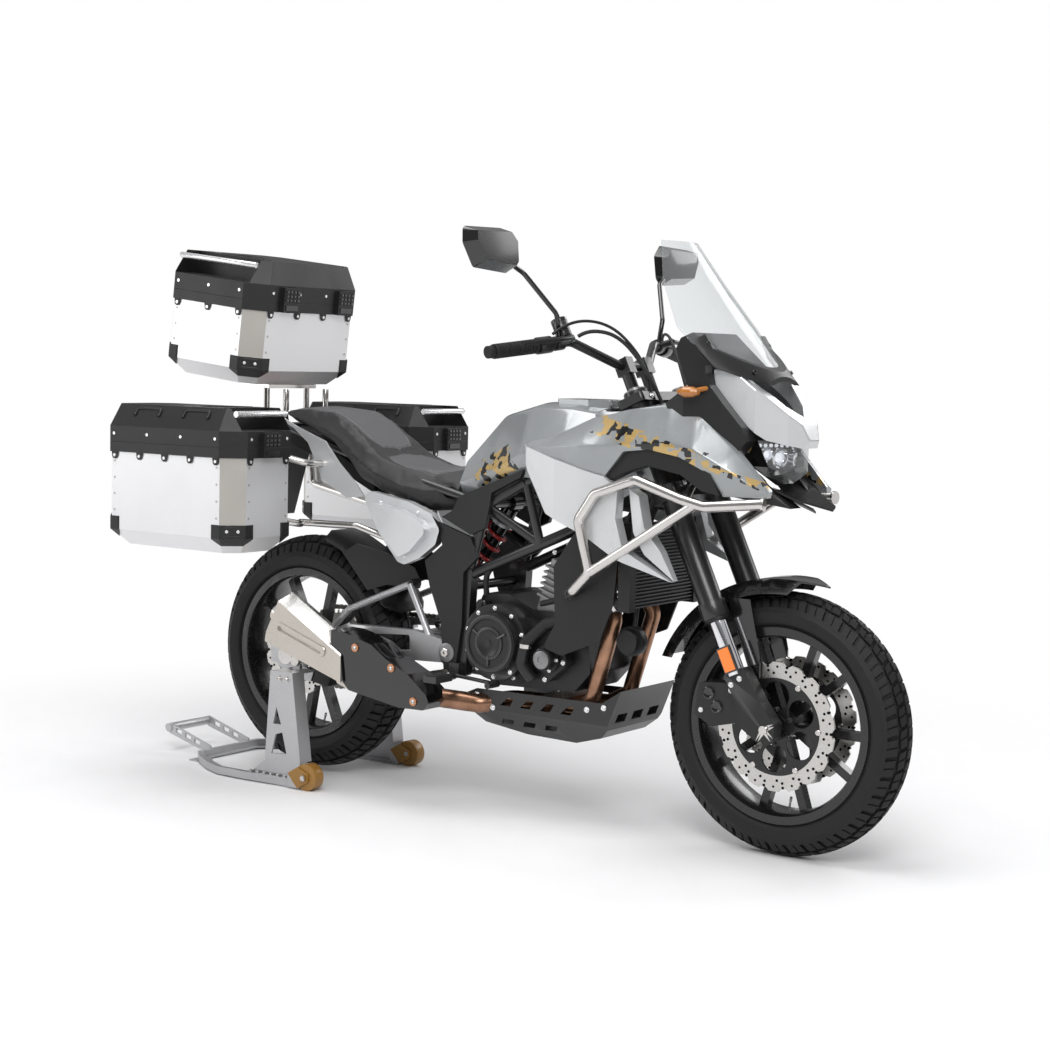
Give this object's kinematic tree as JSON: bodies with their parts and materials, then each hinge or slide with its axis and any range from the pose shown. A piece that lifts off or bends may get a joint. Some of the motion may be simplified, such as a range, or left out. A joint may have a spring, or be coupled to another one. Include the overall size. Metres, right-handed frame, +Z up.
{
  "type": "adventure touring motorcycle with aluminium luggage on a rear paddock stand",
  "caption": "Middleweight adventure touring motorcycle with tall screen, crash bars, aluminium panniers and top case, held upright on a rear paddock stand.",
  "frame": {"origin": "on the floor, in the middle of the bounding box's length and width", "axes": "+X forward, the way it rides; +Y to its left; +Z up"},
  "size_m": [2.2389, 1.006, 1.4307],
  "materials": {
    "tyre_rubber": "matt",
    "cast_black": "satin",
    "engine_black": "satin",
    "engine_grey": "cast",
    "steel_bright": "polished",
    "steel_black": "powder coat",
    "silver_paint": "satin",
    "grey_paint": "gloss",
    "black_plastic": "matt",
    "seat_vinyl": "matt",
    "lamp_clear": "gloss",
    "screen_clear": "clear",
    "case_aluminium": "brushed",
    "header_steel": "heat stained",
    "silencer_steel": "brushed",
    "stand_silver": "cast"
  },
  "bodies": {
    "chassis": {"frame_main": "steel_black", "subframes": "steel_black", "engine_block": "engine_black", "cylinder_head": "engine_grey", "radiator": "cast_black", "exhaust_headers": "header_steel", "silencer": "silencer_steel", "skid_plate": "steel_black", "swingarm": "cast_black", "rear_axle": "steel_bright", "drive_chain": "steel_bright", "rear_hugger": "black_plastic", "fuel_tank": "grey_paint", "side_blades": "silver_paint", "infill_panels": "black_plastic", "nose_cowl": "silver_paint", "headlight": "lamp_clear", "rear_shock": "steel_black", "windscreen": "screen_clear", "dash": "black_plastic", "crash_bars": "steel_bright", "seat": "seat_vinyl", "side_covers": "silver_paint", "tail_unit": "black_plastic", "luggage_rack": "steel_black", "top_case_box": "case_aluminium", "pannier_box_left": "case_aluminium", "pannier_box_right": "case_aluminium", "paddock_stand": "stand_silver"},
    "fork": {"fork_upper": "cast_black", "fork_lower": "steel_bright", "front_fender": "black_plastic", "handlebar": "steel_black", "mirrors": "black_plastic"},
    "front_wheel": {"front_tyre": "tyre_rubber", "front_rim": "cast_black", "front_discs": "steel_bright"},
    "rear_wheel": {"rear_tyre": "tyre_rubber", "rear_rim": "cast_black", "rear_disc": "steel_bright", "rear_sprocket": "steel_bright"},
    "top_case_lid_body": {"top_case_lid": "black_plastic"},
    "pannier_lid_left_body": {"pannier_lid_left": "black_plastic"},
    "pannier_lid_right_body": {"pannier_lid_right": "black_plastic"},
    "side_stand_body": {"side_stand": "steel_black"}
  },
  "joints": [
    {"name": "steering", "type": "hinge", "parent": "chassis", "child": "fork", "pos_m": [0.76437, 0, 0.28602], "axis": [-0.4226, 0, 0.9063], "range_deg": [-30, 30]},
    {"name": "front_wheel_spin", "type": "hinge", "parent": "fork", "child": "front_wheel", "pos_m": [0.8115, 0, 0.308], "axis": [0, 1, 0], "continuous": true},
    {"name": "rear_wheel_spin", "type": "hinge", "parent": "chassis", "child": "rear_wheel", "pos_m": [-0.6195, 0, 0.329], "axis": [0, 1, 0], "continuous": true},
    {"name": "top_case_lid_hinge", "type": "hinge", "parent": "chassis", "child": "top_case_lid_body", "pos_m": [-1.01856, 0, 1.30534], "axis": [0, -1, 0], "range_deg": [0, 95]},
    {"name": "pannier_lid_left_hinge", "type": "hinge", "parent": "chassis", "child": "pannier_lid_left_body", "pos_m": [-0.9591, 0.374, 0.896], "axis": [0, -1, 0], "range_deg": [0, 95]},
    {"name": "pannier_lid_right_hinge", "type": "hinge", "parent": "chassis", "child": "pannier_lid_right_body", "pos_m": [-0.9591, -0.374, 0.896], "axis": [0, -1, 0], "range_deg": [0, 95]},
    {"name": "side_stand_pivot", "type": "hinge", "parent": "chassis", "child": "side_stand_body", "pos_m": [-0.0095, 0.138, 0.3], "axis": [0, -1, 0], "range_deg": [0, 98]}
  ]
}
